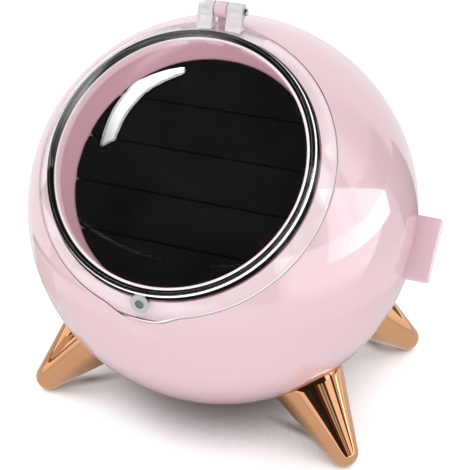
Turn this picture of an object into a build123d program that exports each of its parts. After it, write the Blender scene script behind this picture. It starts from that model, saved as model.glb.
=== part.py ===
# Ball-shaped jewelry box: two half balls on four cone legs, with a round clear lid on a pinned hinge
# over a well that holds a slotted pad.
#
# Everything but the legs is modelled in the ball's own frame: origin at the ball's centre, +Z out
# through the middle of the opening, +Y up along the opening towards the hinge, +X to the right.
# The ball is then tilted back and lifted, so that the finished origin is on the floor under the
# ball's centre, with the opening facing -Y and up.

from build123d import *
import os
from math import asin, atan2, cos, degrees, pi, radians, sin, sqrt, tan

# Driving dimensions, in millimetres and degrees

ball_radius = 60.0
shell_wall = 2.4
ground_clearance = 2.5
opening_tilt = 45.0

lid_edge_angle = 45.5
lid_wall = 1.8
lid_seat_gap = 0.3
lid_side_gap = 0.3
lid_flange_width = 4.6
window_rise = 1.0
window_lap = 1.4
window_bevel = 0.35

tab_width = 16.0
tab_reach = 1.7
tab_corner = 3.0
tab_rise = 0.6
scoop_radius = 14.0
scoop_depth = 1.3

hinge_angle = 45.0
pin_height = 4.6
pin_radius = 0.6
pin_running_clearance = 0.05
pin_head_radius = 1.0
pin_head_thickness = 1.0
pin_blind_wall = 1.5
knuckle_radius = 2.3
knuckle_gap = 0.3
body_knuckle_width = 3.6
lid_knuckle_width = 4.5
lid_arm_depth = 4.0
neck_foot = 5.0
hinge_relief_width = 26.0
hinge_relief_depth = 0.6

lid_magnet_angle = 42.5
lid_magnet_radius = 2.75
lid_magnet_thickness = 1.4
lid_magnet_proud = 0.3
lid_magnet_dimple_radius = 1.3
lid_magnet_dimple_depth = 0.3
body_magnet_angle = 46.0
body_magnet_radius = 2.0
body_magnet_thickness = 1.5
magnet_skin = 0.5
magnet_fit = 0.1
magnet_boss_wall = 1.0

ledge_thickness = 1.8
ledge_reach = 3.0
well_fit = 0.75
well_inset = 1.9
well_wall = 1.5
well_lip_overhang = 1.0
well_lip_thickness = 2.2
well_lip_drop = 0.2
well_floor_thickness = 1.6
notch_width = 6.2
tongue_width = 4.2
notch_web = 0.6

seal_width = 2.0
seal_thickness = 0.5
seal_drop = 0.1
seal_fit = 0.05

pad_depth = 12.8
pad_thickness = 10.0
pad_side_gap = 0.3
pad_slot_width = 0.4
pad_slot_spacing = 13.8
pad_strip_names = ("top", "upper", "middle", "lower", "bottom")
pad_board_thickness = 1.5

well_screw_reach = 6.5
well_screw_angle = 60.0
well_ear_radius = 4.0
well_ear_thickness = 1.6
well_boss_radius = 3.0
well_boss_length = 9.2

shell_screw_inset = 8.6
shell_screw_angle = 35.0
shell_post_radius = 4.5
shell_post_floor = 3.0
shell_well_radius = 3.3
shell_boss_radius = 4.0
rim_tongue_height = 2.0
rim_tongue_root = 4.0
rim_tongue_wall = 1.2
rim_tongue_fit = 0.25

side_tab_reach = 6.9
side_tab_length = 19.8
side_tab_thickness = 2.7
side_tab_corner = 1.3
side_tab_root = 3.0

leg_spread_angle = 60.0
leg_slant = 45.0
rear_leg_spread_angle = 57.0
rear_leg_slant = 42.3
leg_base_radius = 11.3
leg_tip_radius = 4.35
leg_base_edge = 0.5
leg_wall = 2.0
leg_boss_radius = 3.2
leg_core_depth_share = 0.62
foot_flat_depth = 0.35
leg_pad_radius = 6.0
leg_pad_thickness = 3.4

screw_shank_radius = 1.2
screw_head_radius = 2.5
screw_head_thickness = 1.6
screw_hole_clearance = 0.3
screw_thread_clearance = 0.05
screw_tip_gap = 1.0
well_screw_length = 8.0
shell_screw_length = 12.5
leg_screw_length = 13.0

overrun = 5.0

# Sizes and places that follow from the driving ones

inner_radius = ball_radius - shell_wall
ball_height = ball_radius + ground_clearance
lid_inner_radius = ball_radius - lid_wall
window_outer_radius = ball_radius + window_rise
window_inner_radius = window_outer_radius - lid_wall
ledge_radius = lid_inner_radius - lid_seat_gap
ledge_inner_radius = ledge_radius - ledge_thickness
lid_edge_radius = ball_radius * sin(radians(lid_edge_angle))
ledge_edge_radius = lid_edge_radius + lid_side_gap
window_radius = lid_edge_radius - lid_flange_width
well_radius = window_radius - well_inset
well_outer_radius = well_radius + well_wall
opening_radius = well_outer_radius + well_fit
lip_radius = well_radius - well_lip_overhang
lip_outer_sphere = ledge_radius - well_lip_drop
lip_inner_sphere = lip_outer_sphere - well_lip_thickness
seal_outer_sphere = lip_outer_sphere - seal_drop
seal_inner_sphere = seal_outer_sphere - seal_thickness
seal_seat_sphere = seal_inner_sphere - seal_fit
seal_radius = well_radius + seal_fit
pad_face_height = sqrt(lip_outer_sphere**2 - well_radius**2) - pad_depth
pad_base_height = pad_face_height - pad_thickness
well_floor_top = pad_base_height - pad_board_thickness
well_floor_base = well_floor_top - well_floor_thickness
pad_radius = well_radius - pad_side_gap
pad_slot_count = len(pad_strip_names) - 1
pin_distance = ball_radius + pin_height
pin_hole_radius = pin_radius + pin_running_clearance
seam_angle = degrees(asin(ledge_edge_radius / ball_radius))
well_screw_circle_radius = well_outer_radius + well_screw_reach
shell_screw_circle_radius = inner_radius - shell_screw_inset
well_boss_base = sqrt(inner_radius**2 - well_screw_circle_radius**2) - well_boss_length
well_ear_height = well_boss_base - well_ear_thickness
lid_knuckle_inner = body_knuckle_width / 2 + knuckle_gap
lid_knuckle_outer = lid_knuckle_inner + lid_knuckle_width
screw_hole_radius = screw_shank_radius + screw_hole_clearance
screw_pilot_radius = screw_shank_radius + screw_thread_clearance
well_pilot_depth = well_screw_length - well_ear_thickness + screw_tip_gap
shell_pilot_depth = shell_screw_length - shell_post_floor + screw_tip_gap
leg_pilot_depth = leg_screw_length - leg_pad_thickness + screw_tip_gap
seat_distance = sqrt(ball_radius**2 - leg_base_radius**2)
both_sides = (-1, 1)
ball_reach = ball_radius + window_rise + overrun


# Helpers

def ball_frame():
    """Plane of the ball's own frame, placed in the finished part."""
    tilt = radians(opening_tilt)
    return Plane(origin=(0, 0, ball_height), x_dir=(1, 0, 0), z_dir=(0, -cos(tilt), sin(tilt)))


def in_ball(shape):
    """Moves a shape from the ball's own frame to the finished part."""
    return ball_frame().location * shape


def spherical_layer(outer, inner):
    return Sphere(outer) - Sphere(inner)


def column(radius, low, high, x=0.0, y=0.0):
    """A cylinder along Z from low to high."""
    return Pos(x, y, (low + high) / 2) * Cylinder(radius, high - low)


def block(x_low, x_high, y_low, y_high, z_low, z_high):
    centre = ((x_low + x_high) / 2, (y_low + y_high) / 2, (z_low + z_high) / 2)
    return Pos(*centre) * Box(x_high - x_low, y_high - y_low, z_high - z_low)


def radial_plane(angle):
    """Frame with Z out along a radius, at an angle from the opening's axis towards the hinge."""
    turn = radians(angle)
    return Plane(origin=(0, 0, 0), x_dir=(1, 0, 0), z_dir=(0, sin(turn), cos(turn)))


def four_places(circle_radius, angle):
    """Four places on a circle, mirrored left to right and top to bottom."""
    x = circle_radius * cos(radians(angle))
    y = circle_radius * sin(radians(angle))
    return [(x, y), (-x, y), (-x, -y), (x, -y)]


def screw(length):
    """A pan head screw: the head's bearing face at Z = 0, the shank towards +Z."""
    head = column(screw_head_radius, -screw_head_thickness, 0.0)
    head = fillet(head.edges().sort_by(Axis.Z)[0], screw_head_thickness / 2)
    slot_width = screw_shank_radius / 2
    slot_depth = screw_head_thickness / 3
    cross = Pos(0, 0, -screw_head_thickness + slot_depth / 2) * (
        Box(screw_head_radius, slot_width, slot_depth) + Box(slot_width, screw_head_radius, slot_depth)
    )
    shank = column(screw_shank_radius, 0.0, length - screw_shank_radius)
    point = Pos(0, 0, length - screw_shank_radius / 2) * Cone(
        screw_shank_radius, screw_shank_radius / 3, screw_shank_radius
    )
    return head + shank + point - cross


# Outline of the lid, seen along the opening's axis: a circle with the thumb tab at the bottom

def lid_prism(gap):
    """The lid's outline, grown by a gap, as a tall prism in front of the ball's centre."""
    edge = lid_edge_radius + gap
    disc = column(edge, 0.0, ball_reach)
    half_width = tab_width / 2 + gap
    tab_end = lid_edge_radius + tab_reach + gap
    tab = block(-half_width, half_width, -tab_end, 0.0, 0.0, ball_reach)
    tab_edges = tab.edges().filter_by(Axis.Z).sort_by(Axis.Y)[:2]
    return disc + fillet(tab_edges, tab_corner + gap)


# Hinge pieces, in the frame whose Z runs out through the pin

def hinge_bar(radius, x_low, x_high):
    """A bar along the pin's line."""
    middle = Pos((x_low + x_high) / 2, 0, pin_distance)
    return middle * Rot(0, 90, 0) * Cylinder(radius, x_high - x_low)


def hinge_web(points, x_low, x_high):
    """A plate across the pin, from an outline of (tangential, radial) points."""
    outline = Polyline(*[(x_low, y, z) for y, z in points], close=True)
    return extrude(make_face(outline), amount=x_high - x_low, dir=(1, 0, 0))


def body_knuckle():
    neck_front = ball_radius * tan(radians(seam_angle - hinge_angle))
    root = inner_radius + shell_wall / 2
    neck = hinge_web(
        [
            (neck_front, root),
            (neck_front, pin_distance),
            (knuckle_radius, pin_distance),
            (neck_front + neck_foot, root),
        ],
        -body_knuckle_width / 2,
        body_knuckle_width / 2,
    )
    knuckle = hinge_bar(knuckle_radius, -body_knuckle_width / 2, body_knuckle_width / 2)
    return radial_plane(hinge_angle).location * (neck + knuckle)


def pin_hole(x_low, x_high):
    return radial_plane(hinge_angle).location * hinge_bar(pin_hole_radius, x_low, x_high)


def lid_arm(side):
    """One clear arm: its knuckle and the web down to the flange."""
    low, high = sorted((side * lid_knuckle_inner, side * lid_knuckle_outer))
    lid_back = ball_radius * tan(radians(lid_edge_angle - hinge_angle))
    root = (ball_radius + lid_inner_radius) / 2
    web = hinge_web(
        [
            (-lid_arm_depth, root),
            (-knuckle_radius, pin_distance),
            (0.0, pin_distance),
            (lid_back / 2, root),
        ],
        low,
        high,
    )
    return radial_plane(hinge_angle).location * (web + hinge_bar(knuckle_radius, low, high))


# Front half of the ball

def front_shell():
    shell = spherical_layer(ball_radius, inner_radius) & column(ball_reach, 0.0, ball_reach)
    ledge_ring = column(ledge_edge_radius + ledge_reach, 0.0, ball_reach)
    ledge = spherical_layer(inner_radius + shell_wall / 2, ledge_inner_radius) & ledge_ring
    shell = shell + ledge
    # four bosses for the screws of the well, and four for the rear half's screws
    boss_cut = Sphere(inner_radius + shell_wall / 2)
    for x, y in four_places(well_screw_circle_radius, well_screw_angle):
        shell = shell + (column(well_boss_radius, well_boss_base, ball_reach, x, y) & boss_cut)
    for x, y in four_places(shell_screw_circle_radius, shell_screw_angle):
        shell = shell + (column(shell_boss_radius, 0.0, ball_reach, x, y) & boss_cut)
    # boss behind the catch magnet
    magnet_seat = ledge_radius - magnet_skin
    magnet_base = magnet_seat - body_magnet_thickness
    magnet_boss = column(body_magnet_radius + magnet_boss_wall, magnet_base, magnet_seat)
    shell = shell + radial_plane(-body_magnet_angle).location * magnet_boss
    shell = shell + body_knuckle()
    # opening, the step that takes the lid, and the finger scoop below the tab
    shell = shell - column(opening_radius, 0.0, ball_reach)
    step = spherical_layer(window_outer_radius, ledge_radius) & lid_prism(lid_side_gap)
    shell = shell - step - hinge_relief() - finger_scoop()
    # screw pilots and magnet pocket
    for x, y in four_places(well_screw_circle_radius, well_screw_angle):
        shell = shell - column(screw_pilot_radius, 0.0, well_boss_base + well_pilot_depth, x, y)
    for x, y in four_places(shell_screw_circle_radius, shell_screw_angle):
        shell = shell - column(screw_pilot_radius, -overrun, shell_pilot_depth, x, y)
    pocket = column(body_magnet_radius + magnet_fit, magnet_base - overrun, magnet_seat)
    shell = shell - radial_plane(-body_magnet_angle).location * pocket
    return shell - pin_hole(-body_knuckle_width, body_knuckle_width)


def hinge_relief():
    """A hollow in the ledge under the hinge, where the lid's back edge dips as the lid opens."""
    zone = block(-hinge_relief_width / 2, hinge_relief_width / 2, 0.0, ball_reach, 0.0, ball_reach)
    hollow = spherical_layer(window_outer_radius, ledge_radius - hinge_relief_depth)
    return hollow & zone & lid_prism(lid_side_gap)


def finger_scoop():
    """A shallow hollow in the ball just below the thumb tab."""
    scoop_angle = degrees(asin((lid_edge_radius + tab_reach) / ball_radius))
    centre = ball_radius + scoop_radius - scoop_depth
    return radial_plane(-scoop_angle).location * Pos(0, 0, centre) * Sphere(scoop_radius)


# Rear half of the ball

def leg_angles(front):
    """Spread and slant of a leg. front is 1 for the front pair, -1 for the rear pair."""
    if front > 0:
        return radians(leg_spread_angle), radians(leg_slant)
    return radians(rear_leg_spread_angle), radians(rear_leg_slant)


def leg_frame(side, front):
    """Frame with Z out along a leg. side is -1 left or 1 right, front is 1 or -1."""
    spread, slant = leg_angles(front)
    direction = (side * sin(spread) * cos(slant), -front * cos(spread) * cos(slant), -sin(slant))
    across = (cos(spread) * front, side * sin(spread), 0.0)
    return Plane(origin=(0, 0, ball_height), x_dir=across, z_dir=direction)


leg_places = {
    "front_left": (-1, 1),
    "front_right": (1, 1),
    "rear_left": (-1, -1),
    "rear_right": (1, -1),
}


def side_tab(side):
    """A flat tab that stands out of the rim on one side."""
    root = inner_radius + shell_wall / 2 - side_tab_root
    x_low, x_high = sorted((side * root, side * (ball_radius + side_tab_reach)))
    plate = block(x_low, x_high, -side_tab_length / 2, side_tab_length / 2, -side_tab_thickness, 0.0)
    outer_edges = plate.edges().filter_by(Axis.Y).sort_by(Axis.X)
    outer_edges = outer_edges[-2:] if side > 0 else outer_edges[:2]
    plate = fillet(outer_edges, side_tab_corner)
    return plate - Sphere(inner_radius + shell_wall / 2)


def rear_shell():
    shell = spherical_layer(ball_radius, inner_radius) & column(ball_reach, -ball_reach, 0.0)
    tongue_outer = inner_radius - rim_tongue_fit
    tongue_inner = tongue_outer - rim_tongue_wall
    root = column(tongue_outer + shell_wall / 2, -rim_tongue_root, 0.0)
    root = (root & Sphere(inner_radius + shell_wall / 2)) - column(tongue_inner, -ball_reach, 0.0)
    tongue = column(tongue_outer, 0.0, rim_tongue_height)
    tongue = (tongue & Sphere(tongue_outer)) - column(tongue_inner, -overrun, ball_reach)
    shell = shell + root + tongue
    boss_cut = Sphere(inner_radius + shell_wall / 2)
    for x, y in four_places(shell_screw_circle_radius, shell_screw_angle):
        shell = shell + (column(shell_post_radius, -ball_reach, 0.0, x, y) & boss_cut)
    for side in both_sides:
        shell = shell + side_tab(side)
    shell = in_ball(shell)
    for side, front in leg_places.values():
        shell = shell + leg_seat(side, front)
        shell = shell - leg_seat_cut(side, front)
    for x, y in four_places(shell_screw_circle_radius, shell_screw_angle):
        shell = shell - in_ball(column(shell_well_radius, -ball_reach, -shell_post_floor, x, y))
        shell = shell - in_ball(column(screw_hole_radius, -ball_reach, overrun, x, y))
    return shell


def leg_seat(side, front):
    """Thickening inside the wall, where a leg is screwed on."""
    pad = column(leg_pad_radius, seat_distance - leg_pad_thickness, seat_distance)
    return leg_frame(side, front).location * pad


def leg_seat_cut(side, front):
    """The flat under a leg's base, and its screw hole."""
    flat = column(leg_base_radius + overrun, seat_distance, ball_reach)
    hole = column(screw_hole_radius, seat_distance - leg_pad_thickness - overrun, ball_reach)
    return leg_frame(side, front).location * (flat + hole)


# Legs

def leg(side, front):
    """A cone with a round tip, hollow, with a screw boss, cut flat where it stands."""
    slant = leg_angles(front)[1]
    tip_distance = (ball_height - leg_tip_radius + foot_flat_depth) / sin(slant)
    length = tip_distance - seat_distance
    # the cone's side is tangent to the tip's ball
    reach = sqrt(length**2 + leg_base_radius**2)
    side_angle = atan2(leg_base_radius, length) - asin(leg_tip_radius / reach)
    touch_radius = leg_tip_radius * cos(side_angle)
    touch_height = length + leg_tip_radius * sin(side_angle)
    shell_line = Polyline((0, 0), (leg_base_radius, 0), (touch_radius, touch_height))
    tip = ThreePointArc(
        (touch_radius, touch_height),
        (leg_tip_radius * sin(pi / 4), length + leg_tip_radius * cos(pi / 4)),
        (0, length + leg_tip_radius),
    )
    axis_line = Line((0, length + leg_tip_radius), (0, 0))
    outline = Plane.XZ * make_face(shell_line + tip + axis_line)
    body = revolve(outline, Axis.Z)
    base_edge = body.edges().filter_by(GeomType.CIRCLE).sort_by(Axis.Z)[0]
    body = fillet(base_edge, leg_base_edge)
    # hollow between the wall and the boss
    core_depth = leg_core_depth_share * length
    core_top = (leg_base_radius - core_depth * tan(side_angle)) - leg_wall
    core = Pos(0, 0, core_depth / 2) * Cone(leg_base_radius - leg_wall, core_top, core_depth)
    core = core - column(leg_boss_radius, -overrun, length)
    pilot = column(screw_pilot_radius, -overrun, leg_pilot_depth)
    body = body - core - pilot
    placed = leg_frame(side, front).location * Pos(0, 0, seat_distance) * body
    floor = block(-2 * ball_reach, 2 * ball_reach, -2 * ball_reach, 2 * ball_reach, -ball_reach, 0.0)
    return placed - floor


# Well, board and pad

def display_well():
    inside_lid = Sphere(lip_outer_sphere)
    wall = column(well_outer_radius, well_floor_base, ball_reach) & inside_lid
    wall = wall - column(well_radius, well_floor_top, ball_reach)
    lip = spherical_layer(lip_outer_sphere, lip_inner_sphere)
    lip = lip & (column(well_outer_radius, 0.0, ball_reach) - column(lip_radius, 0.0, ball_reach))
    well = wall + lip
    for x, y in four_places(well_screw_circle_radius, well_screw_angle):
        well = well + well_ear(x, y)
    # a step round the lip, on which the seal lies
    outside_lip = column(ball_reach, 0.0, ball_reach) - column(well_radius, 0.0, ball_reach)
    well = well - (spherical_layer(ball_reach, seal_seat_sphere) & outside_lip)
    # two notches under the lip, beside a tongue
    notch_layer = spherical_layer(lip_outer_sphere - notch_web, lip_inner_sphere - overrun)
    notch_layer = notch_layer & column(well_radius, 0.0, ball_reach)
    for side in both_sides:
        x_low, x_high = sorted((side * tongue_width / 2, side * (tongue_width / 2 + notch_width)))
        well = well - (notch_layer & block(x_low, x_high, 0.0, ball_reach, 0.0, ball_reach))
    return well


def seal_ring():
    """The flat ring that lies round the well's lip and covers the gap to the ledge."""
    ring = column(seal_radius + seal_width, 0.0, ball_reach) - column(seal_radius, 0.0, ball_reach)
    return spherical_layer(seal_outer_sphere, seal_inner_sphere) & ring


def well_ear(x, y):
    """A screw ear on the outside of the well's wall."""
    top = well_ear_height + well_ear_thickness
    reach = sqrt(x**2 + y**2)
    arm_length = reach - well_radius
    middle = well_radius + arm_length / 2
    arm = Pos(middle, 0, (well_ear_height + top) / 2) * Box(
        arm_length, 2 * well_ear_radius, well_ear_thickness
    )
    turned = Rot(0, 0, degrees(atan2(y, x))) * arm
    ear = turned + column(well_ear_radius, well_ear_height, top, x, y)
    ear = ear - column(well_radius, well_ear_height - overrun, top + overrun)
    return ear - column(screw_hole_radius, well_ear_height - overrun, top + overrun, x, y)


def pad_board():
    return column(pad_radius, well_floor_top, pad_base_height)


def pad_strips():
    """The five strips, from the top of the pad down."""
    disc = column(pad_radius, pad_base_height, pad_face_height)
    slots = [((pad_slot_count - 1) / 2 - row) * pad_slot_spacing for row in range(pad_slot_count)]
    tops = [2 * pad_radius] + [slot - pad_slot_width / 2 for slot in slots]
    bottoms = [slot + pad_slot_width / 2 for slot in slots] + [-2 * pad_radius]
    strips = {}
    for name, high, low in zip(pad_strip_names, tops, bottoms):
        slab = block(-2 * pad_radius, 2 * pad_radius, low, high, 0.0, ball_reach)
        strips["pad_strip_" + name] = disc & slab
    return strips


# Lid and hinge pin

def clear_lid():
    outline = lid_prism(0.0)
    in_front = column(window_radius, 0.0, ball_reach)
    window = spherical_layer(window_outer_radius, window_inner_radius) & in_front
    window_edge = window.edges().filter_by(lambda edge: edge.is_closed).sort_by(Axis.Z)[-1]
    window = chamfer(window_edge, window_bevel)
    flange = spherical_layer(ball_radius, lid_inner_radius) & outline
    flange = flange - column(window_radius - window_lap, 0.0, ball_reach)
    tab_zone = block(-tab_width / 2, tab_width / 2, -ball_radius, -lid_edge_radius, 0.0, ball_reach)
    tab = spherical_layer(ball_radius + tab_rise, lid_inner_radius) & outline & tab_zone
    lid = window + flange + tab
    for side in both_sides:
        lid = lid + lid_arm(side)
    pin_start = -lid_knuckle_outer + pin_blind_wall - pin_running_clearance
    lid = lid - pin_hole(pin_start, lid_knuckle_outer + overrun)
    pocket_floor = ball_radius + lid_magnet_proud - lid_magnet_thickness
    pocket = column(lid_magnet_radius + magnet_fit, pocket_floor, ball_reach)
    return lid - radial_plane(-lid_magnet_angle).location * pocket


def hinge_pin():
    start = -lid_knuckle_outer + pin_blind_wall
    head_start = lid_knuckle_outer + pin_running_clearance
    head_end = head_start + pin_head_thickness
    pin = hinge_bar(pin_radius, start, head_start)
    head = hinge_bar(pin_head_radius, head_start, head_end)
    head = fillet(head.edges().sort_by(Axis.X)[-1], pin_head_thickness / 3)
    return radial_plane(hinge_angle).location * (pin + head)


# Magnets

def lid_magnet():
    top = ball_radius + lid_magnet_proud
    disc = column(lid_magnet_radius, top - lid_magnet_thickness, top)
    disc = fillet(disc.edges().filter_by(GeomType.CIRCLE).sort_by(Axis.Z)[-1], lid_magnet_dimple_depth / 2)
    dimple = column(lid_magnet_dimple_radius, top - lid_magnet_dimple_depth, top + overrun)
    return radial_plane(-lid_magnet_angle).location * (disc - dimple)


def body_magnet():
    seat = ledge_radius - magnet_skin
    disc = column(body_magnet_radius, seat - body_magnet_thickness, seat)
    return radial_plane(-body_magnet_angle).location * disc


# Screws, each set in one node as separate solids

def well_screws():
    return [
        Pos(x, y, well_ear_height) * screw(well_screw_length)
        for x, y in four_places(well_screw_circle_radius, well_screw_angle)
    ]


def shell_screws():
    return [
        Pos(x, y, -shell_post_floor) * screw(shell_screw_length)
        for x, y in four_places(shell_screw_circle_radius, shell_screw_angle)
    ]


def leg_screws():
    head_seat = seat_distance - leg_pad_thickness
    return [
        leg_frame(side, front).location * Pos(0, 0, head_seat) * screw(leg_screw_length)
        for side, front in leg_places.values()
    ]


# All nodes of the part

def all_nodes():
    nodes = {
        "front_shell": in_ball(front_shell()),
        "rear_shell": rear_shell(),
        "display_well": in_ball(display_well()),
        "seal_ring": in_ball(seal_ring()),
        "pad_board": in_ball(pad_board()),
        "clear_lid": in_ball(clear_lid()),
        "hinge_pin": in_ball(hinge_pin()),
        "lid_magnet": in_ball(lid_magnet()),
        "body_magnet": in_ball(body_magnet()),
        "well_screws": Compound([in_ball(piece).solid() for piece in well_screws()]),
        "shell_screws": Compound([in_ball(piece).solid() for piece in shell_screws()]),
        "leg_screws": Compound([piece.solid() for piece in leg_screws()]),
    }
    for name, strip in pad_strips().items():
        nodes[name] = in_ball(strip)
    for name, (side, front) in leg_places.items():
        nodes["leg_" + name] = leg(side, front)
    return nodes


os.makedirs("parts", exist_ok=True)
for node_name, shape in all_nodes().items():
    export_step(shape, "parts/" + node_name + ".step")
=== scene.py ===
import bpy
from math import asin, atan2, cos, degrees, hypot, pi, radians, sin, sqrt, tan
from mathutils import Matrix, Vector


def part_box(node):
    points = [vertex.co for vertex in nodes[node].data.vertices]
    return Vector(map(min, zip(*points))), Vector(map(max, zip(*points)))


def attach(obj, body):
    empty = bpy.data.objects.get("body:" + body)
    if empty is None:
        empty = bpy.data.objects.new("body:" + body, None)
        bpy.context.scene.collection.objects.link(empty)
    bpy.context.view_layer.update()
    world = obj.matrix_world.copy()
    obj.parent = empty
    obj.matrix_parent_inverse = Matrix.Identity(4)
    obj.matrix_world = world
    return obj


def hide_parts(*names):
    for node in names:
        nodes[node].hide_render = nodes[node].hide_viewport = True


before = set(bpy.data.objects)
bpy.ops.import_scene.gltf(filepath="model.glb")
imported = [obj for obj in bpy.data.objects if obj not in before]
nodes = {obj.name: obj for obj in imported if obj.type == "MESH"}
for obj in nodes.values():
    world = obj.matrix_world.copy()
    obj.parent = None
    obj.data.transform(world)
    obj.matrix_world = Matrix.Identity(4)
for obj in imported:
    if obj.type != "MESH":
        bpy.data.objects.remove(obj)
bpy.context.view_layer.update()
mm = 0.001
print("frame loaded with", len(nodes), "nodes")

# lengths in the settings are in millimetres, angles in degrees

ball = {"radius": 60.0, "height": 62.5, "tilt": 45.0, "wall": 2.4, "steps": 256}
ballCentre = Vector((0, 0, ball["height"] * mm))
ballPlace = Matrix.Translation(ballCentre) @ Matrix.Rotation(radians(90 - ball["tilt"]), 4, "X")
inner = ball["radius"] - ball["wall"]


# small helpers for modelling

def deselectAll():
    if bpy.context.mode != "OBJECT":
        bpy.ops.object.mode_set(mode="OBJECT")
    bpy.ops.object.select_all(action="DESELECT")


def selectOnly(piece):
    deselectAll()
    piece.select_set(True)
    bpy.context.view_layer.objects.active = piece


def editAll():
    bpy.ops.object.mode_set(mode="EDIT")
    bpy.ops.mesh.select_all(action="SELECT")


def leaveEditing():
    bpy.ops.mesh.select_all(action="SELECT")
    bpy.ops.mesh.normals_make_consistent(inside=False)
    bpy.ops.object.mode_set(mode="OBJECT")


def extrudeBy(x, y, z):
    bpy.ops.mesh.extrude_region_move(TRANSFORM_OT_translate={"value": (x * mm, y * mm, z * mm)})


def finishWith(piece, kind, **settings):
    selectOnly(piece)
    modifier = piece.modifiers.new(kind.title(), kind)
    for key, value in settings.items():
        setattr(modifier, key, value)
    bpy.ops.object.modifier_apply(modifier=modifier.name)


def combine(piece, other, operation):
    finishWith(piece, "BOOLEAN", operation=operation, solver="EXACT", object=other)
    bpy.data.objects.remove(other)


def joinAll(pieces):
    deselectAll()
    for piece in pieces:
        piece.select_set(True)
    bpy.context.view_layer.objects.active = pieces[0]
    bpy.ops.object.join()
    return bpy.context.object


def moveTo(piece, place):
    selectOnly(piece)
    piece.matrix_world = place @ piece.matrix_world
    bpy.ops.object.transform_apply(location=True, rotation=True, scale=True)


def arcOutline(radius, startAngle, endAngle, count):
    angles = [radians(startAngle + (endAngle - startAngle) * i / count) for i in range(count + 1)]
    return [(radius * sin(a), radius * cos(a)) for a in angles]


def angleAt(radius, width):
    return degrees(asin(width / radius))


def arcBetween(radius, startWidth, endWidth, count):
    # an arc between two places that are given by their width from the middle
    return arcOutline(radius, angleAt(radius, startWidth), angleAt(radius, endWidth), count)


rounding = {"straight": 155, "edgeShare": 0.45}


def softOutline(outline, size, count=3):
    # rounds each sharp corner of a (radius, height) outline
    soft = [outline[0]]
    for before, corner, after in zip(outline, outline[1:], outline[2:]):
        back = Vector(before) - Vector(corner)
        ahead = Vector(after) - Vector(corner)
        opening = back.angle(ahead)
        if opening > radians(rounding["straight"]):
            soft.append(corner)
            continue
        share = rounding["edgeShare"]
        reach = min(size / tan(opening / 2), share * back.length, share * ahead.length)
        inwards = (back.normalized() + ahead.normalized()).normalized()
        middle = Vector(corner) + inwards * reach / cos(opening / 2)
        start = Vector(corner) + back.normalized() * reach - middle
        end = Vector(corner) + ahead.normalized() * reach - middle
        sweep = start.angle(end)
        for i in range(count + 1):
            share = i / count
            point = middle + (start * sin((1 - share) * sweep) + end * sin(share * sweep)) / sin(sweep)
            soft.append((point.x, point.y))
    soft.append(outline[-1])
    return soft


def spinOutline(name, outline, steps):
    # the outline is drawn point by point in the XZ plane, then spun round Z
    deselectAll()
    bpy.ops.mesh.primitive_plane_add(size=2 * mm)
    piece = bpy.context.object
    piece.name = piece.data.name = name
    editAll()
    bpy.ops.mesh.merge(type="CENTER")
    bpy.ops.transform.translate(value=(outline[0][0] * mm, 0, outline[0][1] * mm))
    for before, after in zip(outline, outline[1:]):
        extrudeBy(after[0] - before[0], 0, after[1] - before[1])
    bpy.ops.mesh.select_all(action="SELECT")
    bpy.ops.mesh.spin(steps=steps, angle=2 * pi, center=(0, 0, 0), axis=(0, 0, 1))
    bpy.ops.mesh.select_all(action="SELECT")
    bpy.ops.mesh.remove_doubles(threshold=0.002 * mm)
    leaveEditing()
    return piece


def roundBar(radius, length, centre, alongX=False, segments=64):
    deselectAll()
    turn = (0, pi / 2, 0) if alongX else (0, 0, 0)
    place = [value * mm for value in centre]
    bpy.ops.mesh.primitive_cylinder_add(
        vertices=segments, radius=radius * mm, depth=length * mm, location=place, rotation=turn
    )
    bar = bpy.context.object
    bpy.ops.object.transform_apply(location=True, rotation=True, scale=True)
    return bar


def wedge(lowX, highX, corners):
    # a cube whose sides follow four (y, z) corners: low front, low back, high back, high front
    deselectAll()
    bpy.ops.mesh.primitive_cube_add(size=1)
    block = bpy.context.object
    for vertex in block.data.vertices:
        x, y, z = vertex.co
        corner = corners[(1 if y > 0 else 0) if z < 0 else (2 if y > 0 else 3)]
        vertex.co = ((highX if x > 0 else lowX) * mm, corner[0] * mm, corner[1] * mm)
    return block


def slab(low, high):
    corners = [(low[1], low[2]), (high[1], low[2]), (high[1], high[2]), (low[1], high[2])]
    return wedge(low[0], high[0], corners)


def bevelEdges(piece, chosen, width, segments):
    # bevels the edges whose two ends pass the test
    selectOnly(piece)
    editAll()
    bpy.ops.mesh.select_mode(type="EDGE")
    bpy.ops.mesh.select_all(action="DESELECT")
    bpy.ops.object.mode_set(mode="OBJECT")
    for edge in piece.data.edges:
        edge.select = chosen(*[piece.data.vertices[v].co / mm for v in edge.vertices])
    bpy.ops.object.mode_set(mode="EDIT")
    bpy.ops.mesh.bevel(offset=width * mm, segments=segments)
    bpy.ops.mesh.select_mode(type="VERT")
    bpy.ops.object.mode_set(mode="OBJECT")


def plate(outline, lowX, highX, edgeRound):
    # a plate across X from its (y, z) outline, with rounded edges round both sides
    deselectAll()
    bpy.ops.mesh.primitive_circle_add(vertices=len(outline), radius=mm, fill_type="NGON")
    piece = bpy.context.object
    for vertex, (y, z) in zip(piece.data.vertices, outline):
        vertex.co = (lowX * mm, y * mm, z * mm)
    editAll()
    extrudeBy(highX - lowX, 0, 0)
    leaveEditing()
    bevelEdges(piece, lambda start, end: abs(start.x - end.x) < 0.001, edgeRound, 3)
    return piece


def radialPlace(angle, distance):
    # a place on a radius of the ball, at an angle from the opening's middle towards the hinge
    return ballPlace @ Matrix.Rotation(radians(-angle), 4, "X") @ Matrix.Translation((0, 0, distance * mm))


def smoothSides(piece, angle=30):
    selectOnly(piece)
    bpy.ops.object.shade_smooth_by_angle(angle=radians(angle))


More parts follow.
